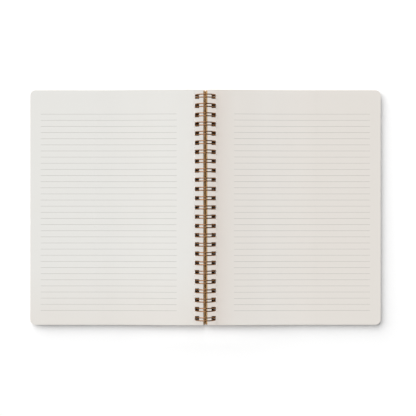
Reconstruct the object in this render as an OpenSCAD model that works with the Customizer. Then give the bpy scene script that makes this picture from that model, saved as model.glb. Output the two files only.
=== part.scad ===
// Open spiral notebook: a ruled writing block turned open at its middle, with a card cover
// under each side, all hung on one twin-loop wire. X runs across the spread, Y runs along
// the spine, Z is up, and the origin is on the table under the middle of the spine.

/* [Leaves] */
// Height of a leaf, along the spine
leaf_h = 215.9; // [148:0.1:297]
// Width of a leaf, from its inner edge to its fore edge
leaf_w = 159.4; // [130:0.1:210]
// Thickness of the leaves on each side of the spread
pages_t = 4.8; // [2:0.1:8]
// Radius of the two outer corners of leaves and covers
corner_r = 4.8; // [1:0.1:12]
// Distance from the outermost holes over which the leaves sink from the wire to the table
rise_w = 78; // [40:1:100]

/* [Covers] */
// Thickness of a cover's card
cover_t = 0.6; // [0.3:0.05:1.2]
// Gap between the inner edges of the two covers, under the middle of the spine
cover_gap = 0.7; // [0.4:0.05:3]
// How far the covers' holes reach past the leaves' towards the spine, so that the wire
// clears them while a cover folds back
fold_room = 1.2; // [0.7:0.1:1.5]

/* [Ruling] */
// Distance from one ruled line to the next
rule_gap = 5.6444; // [5:0.0001:9]
// Width of a ruled line
rule_w = 0.2; // [0.1:0.05:0.5]
// Height of the ink above the paper
rule_h = 0.03; // [0.02:0.01:0.08]
// Distance from a leaf's head to the first line
rule_head = 22.1; // [12:0.1:40]
// Least distance from the last line to a leaf's tail
rule_tail = 12.5; // [6:0.1:30]
// Distance from a leaf's inner edge to the start of a line
rule_inner = 24.4; // [14:0.1:40]
// Distance from the end of a line to the fore edge
rule_outer = 9.8; // [4:0.1:30]

/* [Holes] */
// Width of a hole, across the page
hole_w = 4; // [3.6:0.1:5]
// Room in a hole beside the two legs of a loop, on each side along the spine
leg_room = 0.175; // [0.1:0.005:0.4]
// Distance from a leaf's inner edge to its holes
hole_edge = 3.7; // [2.5:0.1:5]
// Least distance from a leaf's end to the middle of its first hole
hole_end = 5; // [4:0.1:10]

/* [Wire] */
// Distance from one loop to the next, three to the inch
pitch = 8.467; // [7.5:0.001:14]
// Thickness of the wire
wire_d = 1; // [0.7:0.05:1.3]
// Distance between the two legs of a loop, middle to middle
leg_gap = 2.65; // [2:0.05:2.7]
// Play between the wire and the edges of a hole where it passes closest
wire_play = 0.16; // [0.1:0.01:0.4]
// Height of the wire's axis above the top leaf
axis_drop = 0.8; // [0.2:0.1:2]
// Least gap between the inner edges of the two blocks of leaves
gutter_min = 3.4; // [3:0.1:8]
// Radius at which the wire turns from the seam into a leg
root_bend = 1; // [0.7:0.05:1.1]
// Distance from the seam's straight lengths, under the middle, to the tips of the loops
seam_gap = 0.35; // [0.3:0.05:1]
// Length of the cut end past the middle of the last loop
wire_end = 5.6; // [4:0.1:7]

/* [Hidden] */
arc_fn = 48;
wire_fn = 20;
rise_steps = 16;
cut_over = 1;
ink_sink = 0.02;
seam_lap = 0.3;

wire_r = wire_d / 2;
stack_t = pages_t + cover_t;

// The ring is the smallest that runs through straight holes in the whole stack and keeps
// the gutter open.
hole_room = hole_w - wire_d - 2 * wire_play;
ring_fit = (pow(axis_drop + stack_t, 2) / hole_room + hole_w - 2 * wire_play) / 2;
ring_least = hole_w + hole_edge + gutter_min / 2 - wire_r - wire_play;
ring_r = max(ring_fit, ring_least);

// The tips of the loops are the lowest points of the wire and touch the table.
axis_z = norm([ring_r, leg_gap / 2]) + wire_r;
spine_lift = axis_z - axis_drop - stack_t;

// Places across the page, measured from the middle of the spine
hole_out = sqrt(pow(ring_r + wire_r, 2) - pow(axis_drop, 2)) + wire_play;
hole_in = hole_out - hole_w;
leaf_in = hole_in - hole_edge;
leaf_out = leaf_in + leaf_w;
rise_in = hole_out + hole_w / 2;
rise_out = rise_in + rise_w;

// Places along the spine
loops = floor((leaf_h - 2 * hole_end) / pitch) + 1;
loop_y = [for (i = [0 : loops - 1]) (i - (loops - 1) / 2) * pitch];
rules = floor((leaf_h - rule_head - rule_tail) / rule_gap) + 1;
rule_y = [for (i = [0 : rules - 1]) leaf_h / 2 - rule_head - i * rule_gap];

// Underside of the stack: lifted to the wire at the spine, eased down to the table
function eased(t) = spine_lift * (1 + cos(180 * t)) / 2;
lift_line = concat(
    [[0, spine_lift]],
    [for (i = [0 : rise_steps]) [rise_in + rise_w * i / rise_steps, eased(i / rise_steps)]],
    [[leaf_out, 0]]
);

// The part of that line between two places, with points of its own at both ends
function lift_between(a, b) = concat(
    [[a, lookup(a, lift_line)]],
    [for (p = lift_line) if (p[0] > a && p[0] < b) p],
    [[b, lookup(b, lift_line)]]
);

function raised(line, z) = [for (p = line) [p[0], p[1] + z]];
function reversed(line) = [for (i = [len(line) - 1 : -1 : 0]) line[i]];

// A strip from a to b across the page, between two heights above the lifted underside
module strip(a, b, low, high, len_y) {
    line = lift_between(a, b);
    translate([0, len_y / 2, 0])
        rotate([90, 0, 0])
            linear_extrude(len_y)
                polygon(concat(raised(line, low), reversed(raised(line, high))));
}

// Outline of a leaf or cover seen from above, with its two outer corners rounded
module outline(a, b) {
    translate([a, corner_r - leaf_h / 2]) square([b - a, leaf_h - 2 * corner_r]);
    translate([a, -leaf_h / 2]) square([b - a - corner_r, leaf_h]);
    for (s = [-1, 1])
        translate([b - corner_r, s * (leaf_h / 2 - corner_r)]) circle(corner_r, $fn = arc_fn);
}

// Holes through a leaf or cover, from a place across the page out to the leaves' hole edge
module holes(from) {
    hole_len = leg_gap + wire_d + 2 * leg_room;
    for (y = loop_y)
        translate([from, y - hole_len / 2, -cut_over])
            cube([hole_out - from, hole_len, spine_lift + stack_t + 2 * cut_over]);
}

// Card or paper on the right-hand side of the spine, between two heights of the stack
module layer(inner, low, high, holes_from) {
    difference() {
        intersection() {
            strip(inner, leaf_out, low, high, leaf_h);
            translate([0, 0, -cut_over])
                linear_extrude(spine_lift + stack_t + 2 * cut_over) outline(inner, leaf_out);
        }
        holes(holes_from);
    }
}

module ruling() {
    for (y = rule_y)
        translate([0, y, 0])
            strip(leaf_in + rule_inner, leaf_out - rule_outer,
                stack_t - ink_sink, stack_t + rule_h, rule_w);
}

module cover() {
    color("burlywood") layer(cover_gap / 2, 0, cover_t, hole_in - fold_room);
}

module pages() {
    color("ivory") layer(leaf_in, cover_t, stack_t, hole_in);
    color("lightsteelblue") ruling();
}

module front_cover() {
    mirror([1, 0, 0]) cover();
}

module left_pages() {
    mirror([1, 0, 0]) pages();
}

module right_pages() {
    pages();
}

module back_cover() {
    cover();
}

// Round wire bent to an arc about Z, from one angle on
module bent(radius, from, sweep) {
    rotate([0, 0, from])
        rotate_extrude(angle = sweep, $fn = arc_fn)
            translate([radius, 0]) circle(wire_r, $fn = wire_fn);
}

// Angles from straight down at which a loop's legs leave the seam and come back to it
leg_start = asin(root_bend / ring_r);
leg_end = asin((leg_gap / 2 + seam_gap) / ring_r);

// Puts a shape on the ring's lowest point, an angle round from straight down
module on_ring(angle) {
    translate([0, 0, axis_z])
        rotate([0, -angle, 0])
            translate([0, 0, -ring_r])
                children();
}

// Half of each of a loop's two legs, from that point to past the crown
module half_legs(from) {
    for (s = [-1, 1])
        translate([0, s * leg_gap / 2, ring_r])
            rotate([90, 0, 0])
                bent(ring_r, from, 180);
}

// The closed tip where one leg turns back into the other, with the legs' nearer halves
module tip_side() {
    on_ring(leg_end) {
        half_legs(-90);
        bent(leg_gap / 2, 90, 180);
    }
}

// The turn from a leg into the seam, and the seam's straight length up to reach
module root(reach) {
    turned = leg_gap / 2 + root_bend;
    translate([0, turned, 0]) bent(root_bend, -90, 90);
    translate([root_bend, turned, 0])
        rotate([-90, 0, 0]) cylinder(h = reach - turned, r = wire_r, $fn = wire_fn);
}

// The roots on both sides of a loop, with the legs' nearer halves
module root_side(reach_down, reach_up) {
    on_ring(-leg_start) {
        half_legs(90);
        root(reach_up);
        mirror([0, 1, 0]) root(reach_down);
    }
}

module binding_wire() {
    reach = pitch / 2 + seam_lap;
    color("peru")
        for (i = [0 : loops - 1])
            translate([0, loop_y[i], 0]) {
                tip_side();
                root_side(i == 0 ? wire_end : reach, i == loops - 1 ? wire_end : reach);
            }
}

front_cover();
left_pages();
right_pages();
back_cover();
binding_wire();
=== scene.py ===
import math
import random

import bmesh
import bpy
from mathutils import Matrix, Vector


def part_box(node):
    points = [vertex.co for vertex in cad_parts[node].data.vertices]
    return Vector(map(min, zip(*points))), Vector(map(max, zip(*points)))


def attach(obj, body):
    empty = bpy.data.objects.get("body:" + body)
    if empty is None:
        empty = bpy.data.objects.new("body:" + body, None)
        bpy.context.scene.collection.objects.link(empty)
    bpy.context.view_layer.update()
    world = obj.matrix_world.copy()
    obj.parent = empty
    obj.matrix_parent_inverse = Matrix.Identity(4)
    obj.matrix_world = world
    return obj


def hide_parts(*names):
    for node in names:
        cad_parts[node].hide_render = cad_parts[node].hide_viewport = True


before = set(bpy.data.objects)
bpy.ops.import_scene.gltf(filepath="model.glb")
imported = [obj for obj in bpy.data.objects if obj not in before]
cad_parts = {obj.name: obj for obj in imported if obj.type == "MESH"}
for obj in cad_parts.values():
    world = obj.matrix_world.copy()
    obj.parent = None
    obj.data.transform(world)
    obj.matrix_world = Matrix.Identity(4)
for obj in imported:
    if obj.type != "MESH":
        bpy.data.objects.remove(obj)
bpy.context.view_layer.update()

mm = 0.001  # everything below is in metres
touch = 0.01 * mm  # places closer than this count as the same
random.seed(21)

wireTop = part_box("binding_wire")[1].z
pagesLow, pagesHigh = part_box("right_pages")
leafHeight = pagesHigh.y - pagesLow.y
print("frame loaded:", len(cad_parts), "nodes")


# camera straight above, a touch right of the spine as in the photo
cameraSet = {
    "pages": 5.4 * mm,  # height of the open pages above the table
    "above": 945 * mm,  # from there up to the camera
    "right": 2.4 * mm,
    "down": 0.5 * mm,
    "frameWidth": 382.9 * mm,  # what the frame spans at the pages' height
    "sensor": 36.0,
    "farthest": 20.0,  # what lies further off isn't drawn
}
cameraData = bpy.data.cameras.new("camera")
cameraData.sensor_width = cameraSet["sensor"]
cameraData.lens = cameraSet["sensor"] * cameraSet["above"] / cameraSet["frameWidth"]
cameraData.clip_end = cameraSet["farthest"]
camera = bpy.data.objects.new("camera", cameraData)
camera.location.x = cameraSet["right"]
camera.location.y = -cameraSet["down"]
camera.location.z = cameraSet["pages"] + cameraSet["above"]
bpy.context.scene.collection.objects.link(camera)
bpy.context.scene.camera = camera
print("camera set")


# small helpers for working in edit mode
def deselectAll():
    if bpy.context.mode != "OBJECT":
        bpy.ops.object.mode_set(mode="OBJECT")
    bpy.ops.object.select_all(action="DESELECT")


def startPiece(obj, name):
    obj.name = name
    obj.data.name = name
    bpy.context.view_layer.objects.active = obj
    bpy.ops.object.mode_set(mode="EDIT")


def pickFaces(obj, test):
    bpy.ops.mesh.select_all(action="DESELECT")
    bpy.ops.mesh.select_mode(type="FACE")
    mesh = bmesh.from_edit_mesh(obj.data)
    for face in mesh.faces:
        if test(face.calc_center_median()):
            face.select_set(True)
    bmesh.update_edit_mesh(obj.data)


def pickPoints(obj, test):
    bpy.ops.mesh.select_all(action="DESELECT")
    bpy.ops.mesh.select_mode(type="VERT")
    mesh = bmesh.from_edit_mesh(obj.data)
    for point in mesh.verts:
        if test(point.co):
            point.select_set(True)
    mesh.select_flush_mode()
    bmesh.update_edit_mesh(obj.data)


def joinPieces(parts):
    deselectAll()
    for part in parts:
        part.select_set(True)
    bpy.context.view_layer.objects.active = parts[0]
    bpy.ops.object.join()
    return bpy.context.view_layer.objects.active


def copyPiece(obj, name):
    twin = obj.copy()
    twin.data = obj.data.copy()
    twin.name = name
    bpy.context.scene.collection.objects.link(twin)
    return twin


# the wire: a ring of points is spun round into one loop, then copied along the spine
wireSet = {
    "thick": 1.0 * mm,
    "ring": 9.01164 * mm,  # middle of the wire to the middle of the ring
    "pitch": 8.467 * mm,
    "loops": 25,
    "legGap": 2.65 * mm,
    "rootBend": 1.0 * mm,
    "seamGap": 0.35 * mm,  # from the seam to the tips of the loops
    "cutEnd": 5.6 * mm,  # past the middle of the first and last loop
    "endInset": 0.18 * mm,
    "endRound": 0.12 * mm,
    "sides": 14,
    "legSteps": 44,
    "tipSteps": 10,
    "bendSteps": 6,
    "lean": 0.10 * mm,  # how far a loop's crown may wander along the spine
    "leanCurve": 1.5,  # above 1 keeps the lean near the crown
    "weld": 0.02 * mm,  # points closer than this are merged
    "smooth": 40.0,  # degrees between faces that shade as one
}
ringMiddle = Vector((0, 0, wireTop - wireSet["thick"] / 2 - wireSet["ring"]))
legStart = math.asin(wireSet["rootBend"] / wireSet["ring"])
legEnd = math.asin((wireSet["legGap"] / 2 + wireSet["seamGap"]) / wireSet["ring"])
loopYs = [
    (i - (wireSet["loops"] - 1) / 2) * wireSet["pitch"] for i in range(wireSet["loops"])
]


def ringPlace(angle):
    # the ring's point that far round from straight down, its tangent and inward normal
    along = Vector((math.cos(angle), 0, math.sin(angle)))
    inward = Vector((-math.sin(angle), 0, math.cos(angle)))
    return ringMiddle - inward * wireSet["ring"], along, inward


def sweepOn(steps, angle, center, axis):
    # the operator turns clockwise, so the angle is passed on negative
    bpy.ops.mesh.spin(steps=steps, angle=-angle, center=center, axis=axis)


def drawOn(length):
    bpy.ops.mesh.extrude_region_move(TRANSFORM_OT_translate={"value": (0, length, 0)})


def makeLoop(name, reachDown, reachUp):
    turned = wireSet["legGap"] / 2 + wireSet["rootBend"]
    quarter = math.radians(90)
    sweep = 4 * quarter - legStart - legEnd
    rootPlace, rootAlong, rootInward = ringPlace(-legStart)
    tipPlace, _, tipInward = ringPlace(legEnd)
    seam = rootPlace + rootAlong * wireSet["rootBend"]
    aside = Vector((0, turned, 0))

    deselectAll()
    bpy.ops.mesh.primitive_circle_add(
        vertices=wireSet["sides"],
        radius=wireSet["thick"] / 2,
        location=seam - Vector((0, reachDown, 0)),
        rotation=(quarter, 0, 0),
    )
    loop = bpy.context.active_object
    bpy.ops.object.transform_apply(location=True, rotation=True, scale=True)
    startPiece(loop, name)
    bpy.ops.mesh.select_all(action="SELECT")
    # along the seam, up one leg, round the tip, back down the other, along the seam
    drawOn(reachDown - turned)
    sweepOn(wireSet["bendSteps"], quarter, rootPlace - aside, rootInward)
    sweepOn(wireSet["legSteps"], sweep, ringMiddle, (0, 1, 0))
    sweepOn(wireSet["tipSteps"], -2 * quarter, tipPlace, tipInward)
    sweepOn(wireSet["legSteps"], -sweep, ringMiddle, (0, 1, 0))
    sweepOn(wireSet["bendSteps"], quarter, rootPlace + aside, rootInward)
    drawOn(reachUp - turned)
    bpy.ops.object.mode_set(mode="OBJECT")
    return loop


def leanLoop(loop, amount):
    # the crown wanders a little; the seam stays where it is
    for point in loop.data.vertices:
        rise = (point.co.z - ringMiddle.z) / wireSet["ring"]
        point.co.y += amount * max(0, (1 + rise) / 2) ** wireSet["leanCurve"]


def makeWire():
    half = wireSet["pitch"] / 2
    cutEnd = wireSet["cutEnd"]
    middleLoop = makeLoop("middleLoop", half, half)
    loops = []
    for y in loopYs:
        if y == loopYs[0]:
            loop = makeLoop("firstLoop", cutEnd, half)
        elif y == loopYs[-1]:
            loop = makeLoop("lastLoop", half, cutEnd)
        else:
            loop = copyPiece(middleLoop, "loop")
        leanLoop(loop, random.uniform(-1, 1) * wireSet["lean"])
        for point in loop.data.vertices:
            point.co.y += y
        loops.append(loop)
    bpy.data.objects.remove(middleLoop)
    wire = joinPieces(loops)
    startPiece(wire, "twinLoopWire")
    bpy.ops.mesh.select_mode(type="VERT")
    bpy.ops.mesh.select_all(action="SELECT")
    bpy.ops.mesh.remove_doubles(threshold=wireSet["weld"])
    # the two cut ends of the wire are closed and slightly rounded over
    bpy.ops.mesh.fill_holes(sides=0)
    for side in (-1, 1):
        end = side * (loopYs[-1] + cutEnd)
        pickFaces(wire, lambda c: abs(c.y - end) < touch)
        bpy.ops.mesh.inset(thickness=wireSet["endInset"])
        bpy.ops.transform.translate(value=(0, side * wireSet["endRound"], 0))
    bpy.ops.mesh.select_all(action="SELECT")
    bpy.ops.mesh.normals_make_consistent(inside=False)
    bpy.ops.object.mode_set(mode="OBJECT")
    bpy.ops.object.shade_smooth_by_angle(angle=math.radians(wireSet["smooth"]))
    return wire


twinLoopWire = makeWire()
print("wire made:", len(twinLoopWire.data.polygons), "faces")


# the leaves: one is cut out flat and thickened, its copies are eased over the rise
leafSet = {
    "paper": 0.1 * mm,
    "leaves": 40,  # on each side of the spread
    "stack": 4.8 * mm,
    "corner": 4.8 * mm,
    "cornerSteps": 7,
    "hole": 4.0 * mm,
    "holeEdge": 3.7 * mm,
    "rise": 78.0 * mm,
    "riseSteps": 16,
    "flatSteps": 5,  # from the rise out to the fore edge
    "topRows": 12,  # lines across the top leaf, for even shading
    "ink": 0.03 * mm,  # how far the CAD's ruled lines stand up
    "shuffle": 0.07 * mm,  # how unevenly the leaves lie on each other
    "smooth": 25.0,  # degrees between faces that shade as one
}
leafIn = pagesLow.x
leafOut = pagesHigh.x
holeIn = leafIn + leafSet["holeEdge"]
holeOut = holeIn + leafSet["hole"]
riseIn = holeOut + leafSet["hole"] / 2
stackTop = pagesHigh.z - leafSet["ink"]  # at the spine
stackLow = pagesLow.z  # at the fore edge, on the cover
spineLift = stackTop - leafSet["stack"] - stackLow


def liftAt(x):
    share = min(1, max(0, (x - riseIn) / leafSet["rise"]))
    return spineLift * (1 + math.cos(math.pi * share)) / 2


def cutAt(place, normal):
    bpy.ops.mesh.bisect(plane_co=place, plane_no=normal)


def makeLeaf(name, rows):
    deselectAll()
    bpy.ops.mesh.primitive_plane_add(size=1, location=(0, 0, 0))
    leaf = bpy.context.active_object
    leaf.scale = (leafOut - leafIn, leafHeight, 1)
    leaf.location = ((leafIn + leafOut) / 2, 0, 0)
    bpy.ops.object.transform_apply(location=True, rotation=True, scale=True)
    startPiece(leaf, name)
    for x in (holeIn, holeOut):
        bpy.ops.mesh.select_all(action="SELECT")
        cutAt((x, 0, 0), (1, 0, 0))
    # punch the holes
    near = leafSet["hole"] / 2
    for y in loopYs:
        for edge in (y - near, y + near):
            pickFaces(leaf, lambda c: holeIn < c.x < holeOut)
            cutAt((0, edge, 0), (0, 1, 0))
    pickFaces(
        leaf,
        lambda c: holeIn < c.x < holeOut and any(abs(c.y - y) < near for y in loopYs),
    )
    bpy.ops.mesh.delete(type="FACE")
    # lines to bend on, across the rise and out to the fore edge
    steps = leafSet["riseSteps"]
    flats = leafSet["flatSteps"]
    bends = [riseIn + leafSet["rise"] * i / steps for i in range(steps + 1)]
    beyond = leafOut - bends[-1]
    bends += [bends[-1] + beyond * i / flats for i in range(1, flats)]
    for x in bends:
        pickFaces(leaf, lambda c: c.x > holeOut)
        cutAt((x, 0, 0), (1, 0, 0))
    for i in range(1, rows):
        pickFaces(leaf, lambda c: c.x > riseIn)
        cutAt((0, (i / rows - 0.5) * leafHeight, 0), (0, 1, 0))
    # the two outer corners
    pickPoints(
        leaf,
        lambda c: c.x > leafOut - touch and abs(c.y) > leafHeight / 2 - touch,
    )
    bpy.ops.mesh.bevel(
        offset=leafSet["corner"], segments=leafSet["cornerSteps"], affect="VERTICES"
    )
    bpy.ops.object.mode_set(mode="OBJECT")
    bpy.ops.object.modifier_add(type="SOLIDIFY")
    leaf.modifiers[-1].thickness = leafSet["paper"]
    leaf.modifiers[-1].offset = -1
    bpy.ops.object.modifier_apply(modifier=leaf.modifiers[-1].name)
    return leaf


def layLeaf(leaf, level, side):
    # level is the leaf's upper face above the pages' underside
    slipX = random.uniform(-1, 1) * leafSet["shuffle"]
    slipY = random.uniform(-1, 1) * leafSet["shuffle"]
    for point in leaf.data.vertices:
        x = point.co.x
        point.co.z += stackLow + liftAt(x) + level
        point.co.x = side * (x + slipX)
        point.co.y += slipY


def makeBlock(name, side):
    plain = makeLeaf("plainLeaf", 1)
    topped = makeLeaf("toppedLeaf", leafSet["topRows"])
    count = leafSet["leaves"]
    step = leafSet["stack"] / count
    leaves = []
    for i in range(count):
        leaf = copyPiece(topped if i == count - 1 else plain, "leaf")
        layLeaf(leaf, step * (i + 1), side)
        leaves.append(leaf)
    bpy.data.objects.remove(plain)
    bpy.data.objects.remove(topped)
    block = joinPieces(leaves)
    startPiece(block, name)
    bpy.ops.mesh.select_all(action="SELECT")
    if side < 0:
        bpy.ops.mesh.flip_normals()  # mirroring turned the leaves inside out
    bpy.ops.object.mode_set(mode="OBJECT")
    bpy.ops.object.shade_smooth_by_angle(angle=math.radians(leafSet["smooth"]))
    return block


leftLeaves = makeBlock("leftLeaves", -1)
rightLeaves = makeBlock("rightLeaves", 1)
print("leaves made:", len(leftLeaves.data.polygons), "faces on each side")


# shader maths: a socket is wrapped, so that an expression on it adds its Math nodes
class Signal:
    def __init__(self, shader, socket):
        self.shader = shader
        self.socket = socket

    def math(self, operation, *values):
        sockets = dict(enumerate(values))
        return self.shader.node("Math", {"operation": operation}, sockets)

    def __add__(self, other):
        return self.math("ADD", self, other)

    def __radd__(self, other):
        return self.math("ADD", other, self)

    def __sub__(self, other):
        return self.math("SUBTRACT", self, other)

    def __rsub__(self, other):
        return self.math("SUBTRACT", other, self)

    def __mul__(self, other):
        return self.math("MULTIPLY", self, other)

    def __rmul__(self, other):
        return self.math("MULTIPLY", other, self)

    def __truediv__(self, other):
        return self.math("DIVIDE", self, other)

    def __rtruediv__(self, other):
        return self.math("DIVIDE", other, self)

    def __lt__(self, other):
        return self.math("LESS_THAN", self, other)

    def __gt__(self, other):
        return self.math("GREATER_THAN", self, other)

    def __abs__(self):
        return self.math("ABSOLUTE", self)

    def atLeast(self, other):
        return self.math("MAXIMUM", self, other)

    def atMost(self, other):
        return self.math("MINIMUM", self, other)

    def rounded(self):
        return self.math("ROUND", self)

    def clamped(self):
        return self.shader.node("Clamp", {}, {"Value": self})


class Shader:
    def __init__(self, owner, surface):
        owner.use_nodes = True
        self.owner = owner
        self.tree = owner.node_tree
        self.surface = self.tree.nodes[surface]

    def plug(self, socket, value):
        if isinstance(value, Signal):
            self.tree.links.new(value.socket, socket)
        elif socket.type == "RGBA":
            socket.default_value = (*value, 1)
        else:
            socket.default_value = value

    # any node: its settings first, then its sockets, and the output that is wanted
    def node(self, kind, settings, sockets, output=0):
        made = self.tree.nodes.new("ShaderNode" + kind)
        for name, value in settings.items():
            setattr(made, name, value)
        for name, value in sockets.items():
            self.plug(made.inputs[name], value)
        return Signal(self, made.outputs[output])

    def finish(self, **sockets):
        for name, value in sockets.items():
            self.plug(self.surface.inputs[name.replace("_", " ")], value)
        return self.owner

    def spot(self):
        return self.node("TexCoord", {}, {}, "Object")

    def facing(self):
        return self.node("TexCoord", {}, {}, "Normal")

    def part(self, vector, axis):
        return self.node("SeparateXYZ", {}, {0: vector}, axis)

    def mix(self, share, first, second):
        sockets = {0: share, 6: first, 7: second}
        return self.node("Mix", {"data_type": "RGBA"}, sockets, 2)

    def noise(self, scale, detail, stretch=(1, 1, 1)):
        moved = self.node("Mapping", {}, {"Vector": self.spot(), "Scale": stretch})
        sockets = {"Vector": moved, "Scale": scale, "Detail": detail}
        return self.node("TexNoise", {}, sockets)

    def bump(self, height, strength, distance):
        sockets = {"Height": height, "Strength": strength, "Distance": distance}
        return self.node("Bump", {}, sockets)


def newFinish(name):
    return Shader(bpy.data.materials.new(name), "Principled BSDF")


def paint(obj, material):
    obj.data.materials.clear()
    obj.data.materials.append(material)


# ruled writing paper
paperSet = {
    "litCool": (0.797, 0.789, 0.758),  # the paper in full light: the left-hand page
    "shadedWarm": (0.768, 0.732, 0.686),  # painted shade: a darker, warmer copy of the paper for the right-hand page, and for both towards the tail
    "blend": 25 * mm,  # over which one turns into the other at the spine
    "tailFrom": -50 * mm,
    "tailFade": 71.43 * mm,
    "tailShare": 0.9,
    "slopeLight": (1.0, 1.0, 0.98),
    "slopeLightShare": 0.17,  # painted light: lifts the right-hand page where it slopes away from the light
    "slopeShade": (0.5, 0.47, 0.43),
    "slopeShadeShare": 0.09,  # painted shade: dims the left-hand page where it slopes towards the light
    "slopeAt": 56 * mm,  # from the spine to the middle of the slope
    "slopeReach": 46 * mm,
    "spineShade": (0.5, 0.34, 0.27),
    "spineShadeShare": 0.1,  # painted shade on the right-hand page, along the holes
    "spineShadeTo": 28 * mm,  # from the spine
    "spineShadeFade": 14 * mm,
    "mottle": (60, 4),  # a noise: its scale, detail and stretch
    "mottleShare": 0.3,
    "fibre": (1800, 2, (1, 0.6, 1)),
    "grain": (0.15, 0.02 * mm),  # a bump: its strength and depth
    "mottleDepth": 0.4,
    "roughness": 0.82,
    "shine": 0.25,
    "edge": (0.80, 0.78, 0.74),  # the cut edges of the leaves
    "edgeShare": 0.6,
    "faceUp": 0.7,  # a face that points less far up or down than this is an edge
    "holeWallShade": (0.10, 0.072, 0.05),  # painted shade: the holes' walls, as dark as the deep holes look
    "holeWallShadeShare": 0.92,
    "holeWallShadePast": 0.5 * mm,  # how far past the holes' edges the painted shade reaches
    "line": (0.345, 0.333, 0.305),
    "lineShare": 0.85,
    "lineWear": 0.5,  # how unevenly the paper takes the ink
    "ruleGap": 5.6444 * mm,
    "ruleWidth": 0.22 * mm,
    "firstRule": 22.1 * mm,  # below the head
    "rules": 33,
    "ruleInner": 24.4 * mm,
    "ruleOuter": 9.8 * mm,
}


def makePaper():
    paper = newFinish("ruledPaper")
    spot = paper.spot()
    x = paper.part(spot, "X")
    y = paper.part(spot, "Y")
    away = abs(x)
    mottle = paper.noise(*paperSet["mottle"])
    fibre = paper.noise(*paperSet["fibre"])

    # painted light and shade across the spread, over a random mottle that is the
    # paper's own
    onRight = (x / paperSet["blend"] + 0.5).clamped()
    atTail = ((paperSet["tailFrom"] - y) / paperSet["tailFade"]).clamped()
    slope = 1 - abs(away - paperSet["slopeAt"]) / paperSet["slopeReach"]
    slope = slope.clamped()
    # where painted shade falls along the holes on the right-hand page
    spineShadeMask = ((paperSet["spineShadeTo"] - away) / paperSet["spineShadeFade"]).clamped()
    # painted shade: the right-hand page and the tail take the darker, warmer copy; the
    # mottle is the paper's own
    tone = onRight + atTail * paperSet["tailShare"]
    tone = (tone + (mottle - 0.5) * paperSet["mottleShare"]).clamped()
    color = paper.mix(tone, paperSet["litCool"], paperSet["shadedWarm"])
    # painted light on the right-hand slope, painted shade on the left-hand slope and
    # along the holes
    for tint, where in (
        ("slopeLight", slope * onRight),
        ("slopeShade", slope * (1 - onRight)),
        ("spineShade", spineShadeMask * onRight),
    ):
        color = paper.mix(where * paperSet[tint + "Share"], color, paperSet[tint])

    # ruled lines: how far each spot is from the nearest one, inside the ruled field
    below = leafHeight / 2 - paperSet["firstRule"] - y
    nearest = (below / paperSet["ruleGap"]).rounded()
    off = abs(below - nearest * paperSet["ruleGap"])
    onLine = off < paperSet["ruleWidth"] / 2
    inRows = (nearest > -0.5) * (nearest < paperSet["rules"] - 0.5)
    pastStart = away > leafIn + paperSet["ruleInner"]
    beforeEnd = away < leafOut - paperSet["ruleOuter"]
    flat = abs(paper.part(paper.facing(), "Z")) > paperSet["faceUp"]
    ink = onLine * inRows * pastStart * beforeEnd * flat
    ink = ink * (paperSet["lineShare"] + (fibre - 0.5) * paperSet["lineWear"])
    color = paper.mix(ink, color, paperSet["line"])

    # cut edges, and painted shade on the walls of the holes
    color = paper.mix((1 - flat) * paperSet["edgeShare"], color, paperSet["edge"])
    past = paperSet["holeWallShadePast"]
    inHole = (away > holeIn - past) * (away < holeOut + past)
    inHole = inHole * (abs(y) < leafHeight / 2 - past) * (1 - flat)
    color = paper.mix(inHole * paperSet["holeWallShadeShare"], color, paperSet["holeWallShade"])
    height = fibre + mottle * paperSet["mottleDepth"]
    return paper.finish(
        Base_Color=color,
        Roughness=paperSet["roughness"],
        Specular_IOR_Level=paperSet["shine"],
        Normal=paper.bump(height, *paperSet["grain"]),
    )


# brown kraft card for the covers
cardSet = {
    "light": (0.69, 0.44, 0.21),
    "dark": (0.56, 0.345, 0.155),
    "cloud": (70, 5),  # a noise: its scale, detail and stretch
    "fibre": (900, 4, (0.25, 1, 1)),
    "fleck": (0.33, 0.19, 0.085),
    "flecks": (420, 2, (0.4, 1, 1)),
    "fleckFrom": 0.66,  # the noise above this is a fleck
    "fleckSharp": 12,
    "fleckShare": 0.6,
    "grain": (0.3, 0.05 * mm),  # a bump: its strength and depth
    "cloudDepth": 0.5,
    "roughness": 0.8,
    "shine": 0.3,
}


def makeCard():
    card = newFinish("kraftCard")
    cloud = card.noise(*cardSet["cloud"])
    fibre = card.noise(*cardSet["fibre"])
    flecks = card.noise(*cardSet["flecks"]) - cardSet["fleckFrom"]
    flecks = (flecks * cardSet["fleckSharp"]).clamped()
    tone = ((cloud + fibre) / 2).clamped()
    color = card.mix(tone, cardSet["dark"], cardSet["light"])
    color = card.mix(flecks * cardSet["fleckShare"], color, cardSet["fleck"])
    height = fibre + cloud * cardSet["cloudDepth"]
    return card.finish(
        Base_Color=color,
        Roughness=cardSet["roughness"],
        Specular_IOR_Level=cardSet["shine"],
        Normal=card.bump(height, *cardSet["grain"]),
    )


# copper-coloured wire, drawn and coated
copperSet = {
    "bright": (0.36, 0.19, 0.095),
    "deep": (0.22, 0.108, 0.048),
    "edge": (0.42, 0.28, 0.18),  # what it reflects at a glancing angle
    "cloud": (220, 3),  # a noise: its scale, detail and stretch
    "cloudContrast": 1.4,
    "drawn": (2600, 2, (1, 0.3, 1)),
    "roughness": 0.26,
    "cloudRough": 0.12,
    "drawnRough": 0.08,
    "grain": (0.12, 0.01 * mm),  # a bump: its strength and depth
}


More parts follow.
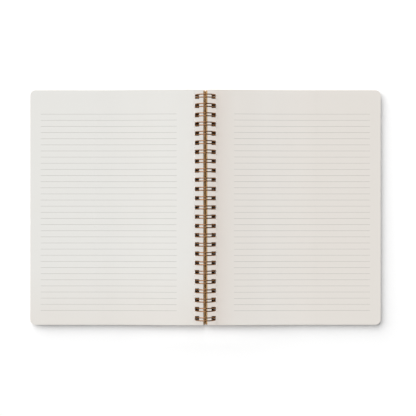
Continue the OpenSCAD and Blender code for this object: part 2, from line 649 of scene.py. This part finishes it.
def makeCopper():
    copper = newFinish("copperWire")
    cloud = copper.noise(*copperSet["cloud"])
    drawn = copper.noise(*copperSet["drawn"])
    tone = ((cloud - 0.5) * copperSet["cloudContrast"] + 0.5).clamped()
    rough = copperSet["roughness"] + (cloud - 0.5) * copperSet["cloudRough"]
    rough = rough + (drawn - 0.5) * copperSet["drawnRough"]
    return copper.finish(
        Base_Color=copper.mix(tone, copperSet["deep"], copperSet["bright"]),
        Metallic=1.0,
        Roughness=rough,
        Specular_Tint=copperSet["edge"],
        Normal=copper.bump(drawn, *copperSet["grain"]),
    )


paperFinish = makePaper()
cardFinish = makeCard()
for piece, finish in (
    (leftLeaves, paperFinish),
    (rightLeaves, paperFinish),
    (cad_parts["front_cover"], cardFinish),
    (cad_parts["back_cover"], cardFinish),
    (twinLoopWire, makeCopper()),
):
    paint(piece, finish)
print("finishes made")


# each piece rides on its body and stands for its CAD node
for piece, body, node, slot in (
    (leftLeaves, "left_pages", "left_pages", "ruled_paper"),
    (rightLeaves, "right_pages", "right_pages", "ruled_paper"),
    (twinLoopWire, "binding_wire", "binding_wire", "copper_wire"),
):
    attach(piece, body)
    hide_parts(node)
# wide soft light leaves no shadow of the thin wire on the paper
twinLoopWire.visible_shadow = False


# white floor, soft key light from the upper left, and an even pale surround
studioSet = {
    "floorSize": 30.0,
    "floorWhite": 0.96,
    "glow": 0.085,  # seen by the camera and in reflections only
    "glowAcross": -0.047,  # its change over a metre to the right
    "glowUp": 0.2,  # its change over a metre towards the head of the leaves
    "glowLeast": 0.058,
    "glowMost": 0.12,
    "unlit": (11.5 * mm, 107 * mm),  # half the strip under the wire that has no glow
    "unlitFade": 1.5 * mm,
    "spill": 0.14,  # more glow by the spine's lower end, where the shadow stays thin
    "spillAt": -115 * mm,
    "spillReach": 14 * mm,
    "spillTo": 75 * mm,  # from the spine to either side
    "spillFade": 50 * mm,
    "ambient": 0.2,
    "keyWidth": 78.0,  # degrees across, for a soft shadow
    "keyStrength": 4.05,
    "keyRound": 133.0,  # degrees from +X towards +Y
    "keyHeight": 38.5,  # degrees above the floor
}


# 1 for what the camera sees straight on, in a reflection or through glass, else 0
def seenRays(shader):
    seen = 0
    for ray in ("Is Camera Ray", "Is Glossy Ray", "Is Transmission Ray"):
        seen = seen + shader.node("LightPath", {}, {}, ray)
    return seen.clamped()


def makeFloor():
    deselectAll()
    bpy.ops.mesh.primitive_plane_add(size=studioSet["floorSize"], location=(0, 0, 0))
    floor = bpy.context.active_object
    floor.name = "floor"
    white = newFinish("floorWhite")
    spot = white.spot()
    x = white.part(spot, "X")
    y = white.part(spot, "Y")
    away = abs(x)
    glow = x * studioSet["glowAcross"] + y * studioSet["glowUp"] + studioSet["glow"]
    glow = glow.atLeast(studioSet["glowLeast"]).atMost(studioSet["glowMost"])
    # none under the wire, and more by the spine's lower end
    halfAcross, halfAlong = studioSet["unlit"]
    outside = (away - halfAcross).atLeast(abs(y) - halfAlong)
    glow = glow * (outside / studioSet["unlitFade"]).clamped()
    nearX = ((studioSet["spillTo"] - away) / studioSet["spillFade"]).clamped()
    nearY = 1 - abs(y - studioSet["spillAt"]) / studioSet["spillReach"]
    glow = glow + nearX * nearY.clamped() * studioSet["spill"]
    level = studioSet["floorWhite"]
    finish = white.finish(
        Base_Color=(level, level, level),
        Roughness=1.0,
        Specular_IOR_Level=0.0,
        Emission_Color=white.mix(seenRays(white) * glow, (0, 0, 0), (1, 1, 1)),
        Emission_Strength=1.0,
    )
    paint(floor, finish)


def makeLights():
    world = bpy.data.worlds.new("surround")
    bpy.context.scene.world = world
    sky = Shader(world, "Background")
    sky.finish(Color=(1, 1, 1), Strength=studioSet["ambient"])
    keyData = bpy.data.lights.new("key", "SUN")
    keyData.angle = math.radians(studioSet["keyWidth"])
    keyData.energy = studioSet["keyStrength"]
    key = bpy.data.objects.new("key", keyData)
    turn = math.radians(studioSet["keyRound"])
    climb = math.radians(studioSet["keyHeight"])
    flat = math.cos(climb)
    aim = Vector((flat * math.cos(turn), flat * math.sin(turn), math.sin(climb)))
    key.location = aim
    key.rotation_euler = aim.to_track_quat("Z", "Y").to_euler()
    bpy.context.scene.collection.objects.link(key)


makeFloor()
makeLights()
bpy.context.scene.view_settings.view_transform = "Standard"
print("studio set")
